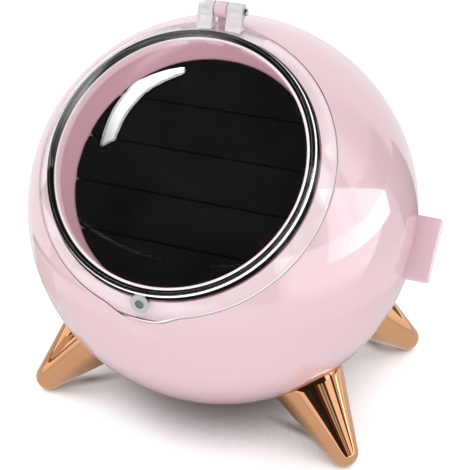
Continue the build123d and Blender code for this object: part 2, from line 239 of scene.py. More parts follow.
def followSpheres(piece, radii, slack=0.02):
    # faces that lie on a sphere round the ball's centre shade as that true sphere
    mesh = piece.data
    normals = [corner.vector.copy() for corner in mesh.corner_normals]
    points = [vertex.co - ballCentre for vertex in mesh.vertices]
    sizes = [point.length / mm for point in points]
    for face in mesh.polygons:
        for radius in radii:
            if max(abs(sizes[v] - radius) for v in face.vertices) < slack:
                side = 1 if face.normal.dot(face.center - ballCentre) > 0 else -1
                for loop in face.loop_indices:
                    normals[loop] = side * points[mesh.loops[loop].vertex_index].normalized()
    mesh.normals_split_custom_set(normals)


far = 2 * ball["radius"]


def finishFaces(piece, material, *zones):
    # gives another material to the faces whose middle is in a zone: its widths, then its distances
    piece.data.materials.append(material)
    back = ballPlace.inverted()
    for face in piece.data.polygons:
        middle = (back @ face.center) / mm
        width = hypot(middle.x, middle.y)
        if any(near < width < wide and low < middle.length < high for near, wide, low, high in zones):
            face.material_index = len(piece.data.materials) - 1


def dress(piece, name, material, body, slot, *replaced):
    piece.name = piece.data.name = name
    piece.data.materials.clear()
    piece.data.materials.append(material)
    for face in piece.data.polygons:
        face.material_index = 0
    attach(piece, body)
    if replaced:
        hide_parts(*replaced)


# camera, fitted to the photograph's outline, rings, slots, hinge, magnet and legs

view = {
    "azimuth": 21.4, "elevation": 30.9, "focal": 1119.3, "picture": 470,
    "distance": 5.796, "right": 0.059, "up": -0.134, "sensor": 36,
}
turn = radians(view["azimuth"])
lift = radians(view["elevation"])
cameraRight = Vector((cos(turn), sin(turn), 0))
cameraBack = Vector((sin(turn) * cos(lift), -cos(turn) * cos(lift), sin(lift)))
cameraUp = cameraBack.cross(cameraRight)
reach = cameraRight * view["right"] + cameraUp * view["up"] + cameraBack * view["distance"]
cameraData = bpy.data.cameras.new("camera")
cameraData.sensor_width = view["sensor"]
cameraData.lens = view["focal"] / view["picture"] * cameraData.sensor_width
camera = bpy.data.objects.new("camera", cameraData)
bpy.context.scene.collection.objects.link(camera)
camera.matrix_world = Matrix.Translation(ballCentre + reach * ball["radius"] * mm) @ Matrix(
    (cameraRight, cameraUp, cameraBack)
).transposed().to_4x4()
bpy.context.scene.camera = camera
print("camera placed")


# node groups and materials

def addNode(tree, kind, **values):
    node = tree.nodes.new("ShaderNode" + kind)
    for key, value in values.items():
        setattr(node, key, value)
    return node


def setSockets(node, **values):
    for key, value in values.items():
        node.inputs[key.replace("_", " ")].default_value = value
    return node


def feed(tree, value, socket):
    # a number or colour is set on the socket, another node's output is linked to it
    if isinstance(value, bpy.types.NodeSocket):
        tree.links.new(value, socket)
    else:
        socket.default_value = value


def addMath(tree, operation, *values):
    node = addNode(tree, "Math", operation=operation)
    for value, socket in zip(values, node.inputs):
        feed(tree, value, socket)
    return node.outputs["Value"]


def times(tree, first, second):
    return addMath(tree, "MULTIPLY", first, second)


def addMix(tree, factor, first, second):
    node = addNode(tree, "Mix", data_type="RGBA")
    for name, value in (("Factor", factor), ("A", first), ("B", second)):
        feed(tree, value, node.inputs[name])
    return node.outputs["Result"]


def addRange(tree, value, low, high, toLow=0.0, toHigh=1.0, kind="LINEAR"):
    node = addNode(tree, "MapRange", interpolation_type=kind)
    setSockets(node, From_Min=low, From_Max=high, To_Min=toLow, To_Max=toHigh)
    feed(tree, value, node.inputs["Value"])
    return node.outputs["Result"]


def addStep(tree, value, low, high):
    return addRange(tree, value, low, high, kind="SMOOTHSTEP")


def addNoise(tree, place, scale, detail):
    node = addNode(tree, "TexNoise")
    for name, value in (("Vector", place), ("Scale", scale), ("Detail", detail)):
        feed(tree, value, node.inputs[name])
    return node.outputs["Fac"]


def addBump(tree, shader, height, depth, strength):
    bump = setSockets(addNode(tree, "Bump"), Distance=depth * mm, Strength=strength)
    feed(tree, height, bump.inputs["Height"])
    feed(tree, bump.outputs["Normal"], shader.inputs["Normal"])


def blendShaders(tree, kind, *values):
    # kind Mix takes a factor and two shaders, kind Add takes two shaders
    node = addNode(tree, kind + "Shader")
    for value, socket in zip(values, node.inputs):
        feed(tree, value, socket)
    return node.outputs["Shader"]


def showShader(tree, shader):
    feed(tree, shader, tree.nodes["Material Output"].inputs["Surface"])


def newGroup(name, *labels):
    # a group on Object coordinates that gives a colour, a roughness and a height
    group = bpy.data.node_groups.new(name, "ShaderNodeTree")
    for label in labels:
        kind = "NodeSocketColor" if label.endswith("Colour") else "NodeSocketFloat"
        group.interface.new_socket(label, in_out="INPUT", socket_type=kind)
    for label, kind in (("Colour", "Color"), ("Roughness", "Float"), ("Height", "Float")):
        group.interface.new_socket(label, in_out="OUTPUT", socket_type="NodeSocket" + kind)
    place = addNode(group, "TexCoord").outputs["Object"]
    return group, group.nodes.new("NodeGroupInput").outputs, group.nodes.new("NodeGroupOutput").inputs, place


def buildMouldedSurface():
    # moulded plastic: broad tone drift, fine skin waviness and specks of dust in the gloss
    group, given, made, place = newGroup(
        "mouldedSurface", "Colour", "Deeper Colour", "Gloss", "Gloss Spread", "Grain Size"
    )
    drift = addNoise(group, place, scale=14, detail=2)
    grain = addNoise(group, place, scale=given["Grain Size"], detail=3)
    wear = addNoise(group, place, scale=60, detail=6)
    feed(group, addMix(group, drift, given["Colour"], given["Deeper Colour"]), made["Colour"])
    spread = addMath(group, "MULTIPLY_ADD", wear, given["Gloss Spread"], given["Gloss"])
    feed(group, spread, made["Roughness"])
    feed(group, grain, made["Height"])
    return group


def buildPolishedMetal():
    # polished or plated metal: fine brushed scratches, faint stains and soft waviness
    group, given, made, place = newGroup(
        "polishedMetal", "Colour", "Stain Colour", "Gloss", "Scratch Spread", "Scratch Size"
    )
    stretch = setSockets(addNode(group, "Mapping"), Scale=(1, 1, 0.08))
    feed(group, place, stretch.inputs["Vector"])
    scratches = addNoise(group, stretch.outputs["Vector"], scale=given["Scratch Size"], detail=5)
    stains = addRange(group, addNoise(group, place, scale=90, detail=4), 0.45, 0.8)
    feed(group, addMix(group, stains, given["Colour"], given["Stain Colour"]), made["Colour"])
    spread = addMath(group, "MULTIPLY_ADD", scratches, given["Scratch Spread"], given["Gloss"])
    feed(group, spread, made["Roughness"])
    feed(group, scratches, made["Height"])
    return group


mouldedSurface = buildMouldedSurface()
polishedMetal = buildPolishedMetal()


def newMaterial(name):
    material = bpy.data.materials.new(name)
    material.use_nodes = True
    tree = material.node_tree
    return material, tree, tree.nodes["Principled BSDF"]


def groupedMaterial(name, group, values, bump, shaderValues):
    material, tree, shader = newMaterial(name)
    surface = addNode(tree, "Group", node_tree=group)
    for socket, value in zip(surface.inputs, values):
        socket.default_value = value
    feed(tree, surface.outputs["Colour"], shader.inputs["Base Color"])
    feed(tree, surface.outputs["Roughness"], shader.inputs["Roughness"])
    addBump(tree, shader, surface.outputs["Height"], *bump)
    setSockets(shader, **shaderValues)
    return material


# the values stand in the order of the group's inputs; bump is a depth in millimetres and a strength

def moulded(name, colour, deeper, gloss, spread=0.1, grain=1500.0, bump=(0.01, 0.05), **shaderValues):
    values = (*colour, 1), (*deeper, 1), gloss, spread, grain
    return groupedMaterial(name, mouldedSurface, values, bump, shaderValues)


def polished(name, colour, stain, gloss, spread=0.15, scratches=2500.0, bump=(0.01, 0.1), metallic=0.3):
    values = (*colour, 1), (*stain, 1), gloss, spread, scratches
    return groupedMaterial(name, polishedMetal, values, bump, {"Metallic": metallic})


pinkPlastic = moulded(
    "pinkPlastic", (0.775, 0.555, 0.60), (0.755, 0.53, 0.58), gloss=0.05, spread=0.05, grain=700.0,
    bump=(0.01, 0.06), IOR=1.5, Coat_Weight=0.3, Coat_Roughness=0.04,
)
# the well's plastic glows a little: painted light that brightens the walls inside the well
wellPlasticPaintedLight = moulded(
    "wellPlasticPaintedLight", (0.93, 0.56, 0.63), (0.91, 0.53, 0.60), gloss=0.28, spread=0.12, grain=2600.0,
    bump=(0.02, 0.15), IOR=1.5, Emission_Color=(0.93, 0.56, 0.63, 1), Emission_Strength=0.17,
)
blackRubber = moulded("blackRubber", (0.006, 0.006, 0.006), (0.004, 0.004, 0.004), gloss=0.08, IOR=1.5)
boardFibre = moulded(
    "boardFibre", (0.05, 0.045, 0.04), (0.03, 0.028, 0.026), gloss=0.8, spread=0.15, grain=3000.0,
    bump=(0.05, 0.4),
)
# painted shade: a black band for the dark gap under the lid
paintedShadeBand = moulded(
    "paintedShadeBand", (0.004, 0.004, 0.004), (0.003, 0.003, 0.003), gloss=0.3, Specular_IOR_Level=0.1
)
# frosted white, with a white glow as a painted highlight
frostedEdgeHighlight = moulded(
    "frostedEdgeHighlight", (0.92, 0.92, 0.92), (0.88, 0.88, 0.88), gloss=0.15, grain=3000.0, bump=(0.01, 0.1),
    IOR=1.49, Emission_Color=(1, 1, 1, 1), Emission_Strength=0.3,
)
grooveShade = moulded("grooveShade", (0.20, 0.10, 0.115), (0.17, 0.085, 0.10), gloss=0.3, IOR=1.5)
# painted light: a lighter pink for the ledge, as if more lit under the flange
litLedgePink = moulded("litLedgePink", (0.90, 0.74, 0.775), (0.88, 0.71, 0.75), gloss=0.15, grain=2600.0, IOR=1.5)
# painted light: a lighter, glowing pink for the lip, which stands lit above the shaded wall
litLipPink = moulded(
    "litLipPink", (0.93, 0.66, 0.71), (0.91, 0.63, 0.68), gloss=0.2, grain=2600.0, IOR=1.5,
    Emission_Color=(0.93, 0.66, 0.71, 1), Emission_Strength=0.3,
)
# painted highlight: a white glowing line on the lip's top
lipHighlight = moulded(
    "lipHighlight", (0.95, 0.94, 0.94), (0.92, 0.90, 0.91), gloss=0.15, grain=2600.0, bump=(0.01, 0.1),
    IOR=1.5, Emission_Color=(1, 1, 1, 1), Emission_Strength=0.6,
)
milkyPlastic = moulded(
    "milkyPlastic", (0.95, 0.94, 0.945), (0.93, 0.92, 0.925), gloss=0.08, spread=0.06, IOR=1.49,
    Transmission_Weight=0.4,
)
roseGold = polished(
    "roseGold", (0.88, 0.46, 0.25), (0.84, 0.42, 0.22), gloss=0.01, spread=0.02, scratches=500.0,
    bump=(0.01, 0.02), metallic=1.0,
)
steel = polished(
    "steel", (0.55, 0.55, 0.56), (0.42, 0.42, 0.43), gloss=0.12, spread=0.12, scratches=1500.0, metallic=1.0
)
magnetSteel = polished("magnetSteel", (0.56, 0.58, 0.575), (0.48, 0.50, 0.49), gloss=0.3)
# painted shade for the dimple in the lid's magnet
dimpleShade = polished("dimpleShade", (0.20, 0.23, 0.22), (0.15, 0.17, 0.16), gloss=0.35)


def makeRimHighlight():
    # painted highlight: the window's rim glows white from outside and stays clear from inside
    material, tree, shader = newMaterial("rimHighlight")
    setSockets(shader, Base_Color=(0.92, 0.92, 0.92, 1), Roughness=0.2, Emission_Color=(1, 1, 1, 1),
               Emission_Strength=0.3)
    clear = addNode(tree, "BsdfTransparent").outputs["BSDF"]
    sides = addNode(tree, "NewGeometry").outputs
    showShader(tree, blendShaders(tree, "Mix", sides["Backfacing"], shader.outputs["BSDF"], clear))
    return material


def makeClearPlastic():
    # lamp rays and soft light pass straight through, so that what is behind the lid stays lit
    material, tree, shader = newMaterial("clearPlastic")
    setSockets(shader, Base_Color=(1, 1, 1, 1), Transmission_Weight=1.0, IOR=1.49)
    place = addNode(tree, "TexCoord").outputs["Object"]
    haze = addNoise(tree, place, scale=35, detail=6)
    feed(tree, addRange(tree, haze, 0.5, 0.9, toHigh=0.02), shader.inputs["Roughness"])
    rays = addNode(tree, "LightPath").outputs
    through = setSockets(addNode(tree, "BsdfTransparent"), Color=(0.97, 0.97, 0.97, 1))
    clear = through.outputs["BSDF"]
    soft = blendShaders(tree, "Mix", rays["Is Diffuse Ray"], shader.outputs["BSDF"], clear)
    showShader(tree, blendShaders(tree, "Mix", rays["Is Shadow Ray"], soft, clear))
    return material


def makeVelvet():
    # short black pile: fibre speckle, brushed patches and a soft sheen at the folds
    material, tree, shader = newMaterial("blackVelvet")
    setSockets(shader, Sheen_Weight=0.015, Sheen_Roughness=0.35, Sheen_Tint=(0.75, 0.76, 0.8, 1), IOR=1.3,
               Specular_IOR_Level=0.05)
    place = addNode(tree, "TexCoord").outputs["Object"]
    fibres = addNoise(tree, place, scale=2600, detail=4)
    patches = addNoise(tree, place, scale=45, detail=5)
    ramp = addNode(tree, "ValToRGB")
    stops = ((0.12, (0.0025, 0.0025, 0.0028, 1)), (0.48, (0.011, 0.011, 0.012, 1)))
    for element, (position, colour) in zip(ramp.color_ramp.elements, stops):
        element.position, element.color = position, colour
    feed(tree, times(tree, fibres, patches), ramp.inputs["Fac"])
    feed(tree, ramp.outputs["Color"], shader.inputs["Base Color"])
    feed(tree, addRange(tree, patches, 0.0, 1.0, toLow=0.75), shader.inputs["Roughness"])
    addBump(tree, shader, fibres, 0.15, 0.6)
    return material


rimHighlight = makeRimHighlight()
clearPlastic = makeClearPlastic()
blackVelvet = makeVelvet()
print("materials made")


# clear lid: raised window with a bevelled rim, flange, thumb tab, magnet pocket and hinge arms

lid = {
    "edge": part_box("clear_lid")[1].x / mm, "wall": 1.8, "rise": 1.0, "flange": 4.6, "lap": 1.4,
    "bevel": 0.35, "edgeRound": 0.15, "edgeStep": 0.5, "borderOuter": 38.3, "rimFoot": 38.42,
    "seatGap": 0.3, "sideGap": 0.3, "tabWidth": 16.0, "tabReach": 1.4, "tabBlend": 4.0, "tabRise": 0.6,
    "topBand": 0.4, "heightFrom": 30.0,
}
# the margins that tell a finish's faces from their neighbours
lidFinish = {
    "rimIn": 0.06, "rimTop": 0.1, "edgeIn": 0.3, "edgeLow": 0.05, "edgeTop": 0.02, "borderIn": 0.02,
    "wallHalf": 0.25, "near": 0.05, "armIn": 39.5, "armOut": 50.0, "armFoot": 60.7,
}
hinge = {
    "pinHeight": 127.1, "pinHole": 0.65, "knuckleRadius": 2.3, "armIn": 2.1, "armOut": 6.6, "armDepth": 4.0,
    "armBack": 0.262, "caseWidth": 3.6, "neckFront": 0.953, "neckFoot": 5.0, "edgeRound": 0.3,
    "barrelSteps": 30, "holeSteps": 32, "armCut": 14.6, "armCutShift": 1.3, "caseCut": 8.0,
}
magnet = {"angle": 42.5, "pocketRadius": 2.85, "pocketFloor": 58.9, "pocketCut": 4.0, "dimple": 1.32}


def knuckleOutline(outerFoot, innerFoot, innerTop, foot):
    # the barrel round the pin on a neck: the inner face's line ends where it meets the barrel
    side = -1 if outerFoot < innerFoot else 1
    rise = hinge["pinHeight"] - foot
    lean = innerFoot - innerTop
    square = lean**2 + rise**2
    half = innerTop * lean
    share = (sqrt(half**2 + square * (hinge["knuckleRadius"] ** 2 - innerTop**2)) - half) / square
    end = 360 + degrees(atan2(-share * rise, side * (innerTop + share * lean)))
    steps = hinge["barrelSteps"]
    angles = [radians(end * i / steps) for i in range(steps + 1)]
    barrel = [(side * hinge["knuckleRadius"] * cos(a), hinge["pinHeight"] + hinge["knuckleRadius"] * sin(a))
              for a in angles]
    return [(outerFoot, foot)] + barrel + [(innerFoot, foot)]


def pinBar(length, shift=0):
    return roundBar(hinge["pinHole"], length, (shift, 0, hinge["pinHeight"]), True, hinge["holeSteps"])


def tabShift(x, gap):
    # how far the thumb tab's outline stands beyond the round edge at x
    share = (lid["tabWidth"] / 2 + gap + lid["tabBlend"] - abs(x)) / (2 * lid["tabBlend"])
    share = min(1, max(0, share))
    return lid["tabReach"] * share * share * (3 - 2 * share)


def growTab(piece, edge, gap, before, fade, rise):
    # pulls the round edge out to the tab's outline, each point kept on its own sphere
    for vertex in piece.data.vertices:
        x, y, z = (value / mm for value in vertex.co)
        width = hypot(x, y)
        if y > 0 or z < lid["heightFrom"] or width < edge - before or width > edge + fade:
            continue
        shift = tabShift(x, gap)
        share = 1 if width <= edge else (1 - (width - edge) / fade) ** 2
        size = sqrt(x * x + y * y + z * z)
        if rise and size > ball["radius"] - lid["topBand"]:
            size += rise * min(1, shift)
        y -= shift * share
        vertex.co = (x * mm, y * mm, sqrt(size**2 - x * x - y * y) * mm)


def makeLid():
    outer, windowOuter = ball["radius"], ball["radius"] + lid["rise"]
    under, windowUnder = outer - lid["wall"], windowOuter - lid["wall"]
    window = lid["edge"] - lid["flange"]
    top = window - lid["bevel"] * cos(asin(window / windowOuter))
    lap = window - lid["lap"]
    nearEdge = lid["edge"] - lid["edgeStep"]
    outline = arcBetween(windowOuter, 0, top, 34)
    outline += [(window, sqrt(windowOuter**2 - window**2) - lid["bevel"])]
    outline += [(window, sqrt(outer**2 - window**2))]
    outline += arcBetween(outer, lid["rimFoot"], nearEdge, 6)
    outline += [(lid["edge"], sqrt(size**2 - lid["edge"] ** 2)) for size in (outer, under)]
    outline += arcBetween(under, nearEdge, lid["borderOuter"], 6)
    outline += arcBetween(under, lid["borderOuter"], lap, 3)[1:]
    outline += arcBetween(windowUnder, lap, 0, 32)
    piece = spinOutline("lidClear", softOutline(outline, lid["edgeRound"]), ball["steps"])
    growTab(piece, lid["edge"], 0, 0.4, 0.1, lid["tabRise"])
    moveTo(piece, ballPlace)
    for side in (-1, 1):
        low, high = sorted((side * hinge["armIn"], side * hinge["armOut"]))
        foot = ball["height"] + (outer + under) / 2
        outline = knuckleOutline(-hinge["armDepth"], hinge["armBack"], 0, foot)
        combine(piece, plate(outline, low, high, hinge["edgeRound"]), "UNION")
    combine(piece, pinBar(hinge["armCut"], hinge["armCutShift"]), "DIFFERENCE")
    pocket = roundBar(magnet["pocketRadius"], magnet["pocketCut"], (0, 0, magnet["pocketCut"] / 2))
    moveTo(pocket, radialPlace(-magnet["angle"], magnet["pocketFloor"]))
    combine(piece, pocket, "DIFFERENCE")
    smoothSides(piece)
    followSpheres(piece, (outer, windowOuter, under, windowUnder))
    dress(piece, "lidClear", clearPlastic, "lid", "clear_plastic", "clear_lid")
    # painted highlights: the rim and the outer edge glow white; painted shade: a black band underneath stands
    # for the dark gap seen through the plastic
    middle = (under + outer) / 2
    limit = lidFinish
    near, half = limit["near"], limit["wallHalf"]
    finishFaces(piece, rimHighlight, (
        window - limit["rimIn"], lid["rimFoot"], middle, windowOuter - limit["rimTop"]))
    finishFaces(piece, frostedEdgeHighlight, (
        lid["edge"] - limit["edgeIn"], far, under + limit["edgeLow"], outer - limit["edgeTop"]))
    finishFaces(
        piece, paintedShadeBand, (lap + limit["borderIn"], lid["borderOuter"], under - near, under + near),
        (lap - half, lap + half, under - near, windowUnder - limit["borderIn"]),
    )
    finishFaces(piece, milkyPlastic, (limit["armIn"], limit["armOut"], limit["armFoot"], far))


makeLid()
print("lid made")


# front half of the ball: step for the lid, ledge, finger scoop and the hinge's middle knuckle

front = {
    "ledgeThickness": 1.8, "ledgeReach": 3.0, "wellFit": 0.75, "edgeRound": 0.6,
    "scoopReach": 8.0, "scoopDepth": 1.0, "reliefHalf": 13.0, "reliefDepth": 0.6, "seamBefore": 0.05,
    "seamFade": 7.0, "onLedge": 0.05, "onBall": 0.1, "ledgeBand": 0.7, "grooveIn": 0.1, "grooveOut": 2.2,
    "grooveTop": 1.1,
}


def makeFrontShell():
    outer, seam = ball["radius"], lid["edge"] + lid["sideGap"]
    ledge = outer - lid["wall"] - lid["seatGap"]
    ledgeUnder = ledge - front["ledgeThickness"]
    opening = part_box("display_well")[1].x / mm + front["wellFit"]
    ring = seam + front["ledgeReach"]
    outline = arcBetween(outer, outer, seam, 36)
    outline += arcBetween(ledge, seam, opening, 8)
    outline += arcBetween(ledgeUnder, opening, ring, 8)
    outline += arcBetween(inner, ring, inner, 28) + [(outer, 0)]
    piece = spinOutline("shellFront", softOutline(outline, front["edgeRound"]), ball["steps"])
    growTab(piece, seam, lid["sideGap"], front["seamBefore"], front["seamFade"], 0)
    # the ledge is lower under the hinge
    for vertex in piece.data.vertices:
        x, y, z = (value / mm for value in vertex.co)
        size = sqrt(x * x + y * y + z * z)
        if y > 0 and abs(x) < front["reliefHalf"] and abs(size - ledge) < front["onLedge"]:
            vertex.co *= (ledge - front["reliefDepth"]) / ledge
    # soft finger scoop below the thumb tab
    scoopAngle = radians(angleAt(outer, lid["edge"] + lid["tabReach"]))
    middle = Vector((0, -sin(scoopAngle), cos(scoopAngle))) * outer
    for vertex in piece.data.vertices:
        point = vertex.co / mm
        share = max(0, 1 - (point - middle).length / front["scoopReach"])
        if share > 0 and abs(point.length - outer) < front["onBall"]:
            vertex.co *= 1 - front["scoopDepth"] * share * share * (3 - 2 * share) / outer
    moveTo(piece, ballPlace)
    half = hinge["caseWidth"] / 2
    foot = ball["height"] + outer - ball["wall"] / 2
    neckFront = hinge["neckFront"]
    outline = knuckleOutline(neckFront + hinge["neckFoot"], neckFront, neckFront, foot)
    neck = plate(outline, -half, half, hinge["edgeRound"])
    combine(neck, pinBar(hinge["caseCut"]), "DIFFERENCE")
    combine(piece, neck, "UNION")
    smoothSides(piece)
    followSpheres(piece, (outer, ledge, inner))
    dress(piece, "shellFront", pinkPlastic, "case", "pink_plastic", "front_shell")
    # painted light: the ledge shows a lighter pink
    finishFaces(piece, litLedgePink, (0, seam, ledge - front["ledgeBand"], ledge + front["ledgeBand"]))
    finishFaces(piece, grooveShade, (
        seam - front["grooveIn"], seam + front["grooveOut"], ledge, outer - front["grooveTop"]))


makeFrontShell()
print("front shell made")


# well behind the opening: wall, floor and lip with two notches under the hinge

well = {
    "wall": 1.5, "lipOverhang": 1.0, "lipThickness": 2.2, "lipDrop": 0.2, "padDepth": 12.8,
    "padThickness": 10.0, "boardThickness": 1.5, "floorThickness": 1.6, "edgeRound": 0.2, "notchWidth": 6.2,
    "tongueWidth": 4.2, "notchWeb": 0.6, "notchLow": 30.0, "notchNear": 25.0, "notchFar": 45.0,
    "notchHigh": 60.0, "sealSeat": 0.65,
}
# the margins that tell a finish's faces from their neighbours
wellFinish = {
    "low": 0.1, "wallIn": 0.03, "notchEnd": 0.3, "notchIn": 0.1, "top": 0.05, "highlightIn": 0.2,
    "highlightOut": 0.02,
}
well["outer"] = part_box("display_well")[1].x / mm
well["inner"] = well["outer"] - well["wall"]
well["lipOuter"] = ball["radius"] - lid["wall"] - lid["seatGap"] - well["lipDrop"]
well["padFace"] = sqrt(well["lipOuter"] ** 2 - well["inner"] ** 2) - well["padDepth"]
well["padBase"] = well["padFace"] - well["padThickness"]
well["floorTop"] = well["padBase"] - well["boardThickness"]


def makeWell():
    inside, lipTop = well["inner"], well["lipOuter"]
    lipUnder = lipTop - well["lipThickness"]
    lipEdge = inside - well["lipOverhang"]
    floorBase = well["floorTop"] - well["floorThickness"]
    sealSeat = lipTop - well["sealSeat"]
    outline = [(0, well["floorTop"]), (inside, well["floorTop"])]
    outline += arcBetween(lipUnder, inside, lipEdge, 2)
    outline += arcBetween(lipTop, lipEdge, inside, 4)
    outline += arcBetween(sealSeat, inside, well["outer"], 3)
    outline += [(well["outer"], floorBase), (0, floorBase)]
    piece = spinOutline("wellCup", softOutline(outline, well["edgeRound"]), ball["steps"])
    # the notches stand under the lip, with a thin web left at its top
    half, foot = well["tongueWidth"] / 2, well["notchLow"]
    top = lipTop - well["notchWeb"]
    for side in (-1, 1):
        low, high = sorted((side * half, side * (half + well["notchWidth"])))
        outline = [(0, foot), (0, top)] + arcBetween(top, 0, inside, 24)[1:]
        outline += [(inside, foot), (0, foot)]
        notch = spinOutline("notch", outline, ball["steps"])
        room = slab((low, well["notchNear"], sqrt(lipUnder**2 - inside**2)),
                    (high, well["notchFar"], well["notchHigh"]))
        combine(notch, room, "INTERSECT")
        combine(piece, notch, "DIFFERENCE")
    moveTo(piece, ballPlace)
    smoothSides(piece)
    dress(piece, "wellCup", wellPlasticPaintedLight, "case", "well_plastic", "display_well")
    limit = wellFinish
    low, wallIn = lipUnder - limit["low"], inside - limit["wallIn"]
    # painted light: the lip's faces are a lighter, glowing pink
    finishFaces(
        piece, litLipPink, (0, lipEdge + limit["notchIn"], low, far),
        (0, wallIn, low, lipUnder + limit["notchEnd"]), (0, wallIn, lipTop - limit["notchEnd"], far),
    )
    # painted highlight: a white glowing line on the lip's top
    finishFaces(piece, lipHighlight, (
        lipEdge + limit["highlightIn"], inside + limit["highlightOut"], lipTop - limit["top"], far))


makeWell()
print("well made")


# seal round the well's lip, up to the lid's underside, with a thin edge that lies on the lip

seal = {"gap": 0.06, "lipInner": 36.02, "outer": 38.15, "low": 57.12, "lipLow": 57.76, "high": 58.14}
seal["inner"] = well["inner"] + seal["gap"]


def makeSeal():
    outline = arcBetween(seal["low"], seal["inner"], seal["outer"], 3)
    outline += arcBetween(seal["high"], seal["outer"], seal["lipInner"], 6)
    outline += arcBetween(seal["lipLow"], seal["lipInner"], seal["inner"], 1)
    outline.append(outline[0])
    piece = spinOutline("sealRing", outline, ball["steps"])
    moveTo(piece, ballPlace)
    smoothSides(piece)
    dress(piece, "sealRing", blackRubber, "case", "black_rubber", "seal_ring")


makeSeal()
print("seal made")


# pad: five velvet-covered foam strips with rolled edges, four slots between them

pad = {
    "radius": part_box("pad_strip_middle")[1].x / mm, "spacing": 13.8, "slot": 0.4, "grid": 0.42,
    "smoothing": 4, "crown": 0.25, "steps": 192, "names": ("top", "upper", "middle", "lower", "bottom"),
}


def makePadStrips():
    count = len(pad["names"]) - 1
    slots = [((count - 1) / 2 - row) * pad["spacing"] for row in range(count)]
    highs = [pad["radius"]] + [slot - pad["slot"] / 2 for slot in slots]
    lows = [slot + pad["slot"] / 2 for slot in slots] + [-pad["radius"]]
    for name, high, low in zip(pad["names"], highs, lows):
        deselectAll()
        bpy.ops.mesh.primitive_circle_add(
            vertices=pad["steps"], radius=pad["radius"] * mm, fill_type="NGON",
            location=(0, 0, well["padBase"] * mm),
        )
        piece = bpy.context.object
        bpy.ops.object.transform_apply(location=True, rotation=True, scale=True)
        bpy.ops.object.mode_set(mode="EDIT")
        for edge, outwards in ((high, 1), (low, -1)):
            bpy.ops.mesh.select_all(action="SELECT")
            bpy.ops.mesh.bisect(plane_co=(0, edge * mm, 0), plane_no=(0, outwards, 0), clear_outer=True)
        bpy.ops.mesh.select_all(action="SELECT")
        extrudeBy(0, 0, well["padThickness"])
        leaveEditing()
        finishWith(piece, "REMESH", mode="VOXEL", voxel_size=pad["grid"] * mm)
        finishWith(piece, "SMOOTH", factor=0.5, iterations=pad["smoothing"])
        # the foam stands a little proud along the middle of each strip
        middle, half = (high + low) / 2, (high - low) / 2
        for vertex in piece.data.vertices:
            lift = (vertex.co.z / mm - well["padBase"]) / well["padThickness"]
            across = min(1, abs(vertex.co.y / mm - middle) / half)
            vertex.co.z -= pad["crown"] * mm * max(0, lift) * across**4
        moveTo(piece, ballPlace)
        selectOnly(piece)
        bpy.ops.object.shade_smooth()
        dress(piece, "padStrip" + name.title(), blackVelvet, "case", "black_velvet", "pad_strip_" + name)


makePadStrips()
print("pad strips made")


# rear half of the ball: screw posts, side tabs and flat seats for the legs

rear = {
    "tongueGap": 0.25, "tongueWall": 1.2, "tongueHeight": 2.0, "tongueRoot": 4.0,
    "screwCircle": 49.0, "screwAngle": 35.0, "postRadius": 4.5, "postFloor": 3.0, "wellRadius": 3.3,
    "holeRadius": 1.5, "tabReach": 6.9, "tabLength": 19.8, "tabThickness": 2.7, "tabCorner": 1.3,
    "tabRoot": 56.5, "edgeRound": 1.1, "sharp": 50, "postLength": 50.0, "cut": 5.0,
}
leg = {
    "frontSpread": 60.0, "frontSlant": 45.0, "rearSpread": 57.0, "rearSlant": 42.3, "base": 11.3, "tip": 4.35,
    "baseRound": 0.5, "footFlat": 0.35, "steps": 192, "coneSteps": 12, "tipSteps": 14,
}
leg["seat"] = sqrt(ball["radius"] ** 2 - leg["base"] ** 2)
legNames = {"front_left": (-1, 1), "front_right": (1, 1), "rear_left": (-1, -1), "rear_right": (1, -1)}


def legAngles(forward):
    place = "front" if forward > 0 else "rear"
    return radians(leg[place + "Spread"]), radians(leg[place + "Slant"])


def legPlace(side, forward):
    spread, slant = legAngles(forward)
    direction = Vector((side * sin(spread) * cos(slant), -forward * cos(spread) * cos(slant), -sin(slant)))
    turned = direction.to_track_quat("Z", "Y").to_matrix().to_4x4()
    return Matrix.Translation(ballCentre) @ turned @ Matrix.Translation((0, 0, leg["seat"] * mm))


def fourScrewPlaces():
    x = rear["screwCircle"] * cos(radians(rear["screwAngle"]))
    y = rear["screwCircle"] * sin(radians(rear["screwAngle"]))
    return [(x, y), (-x, y), (-x, -y), (x, -y)]


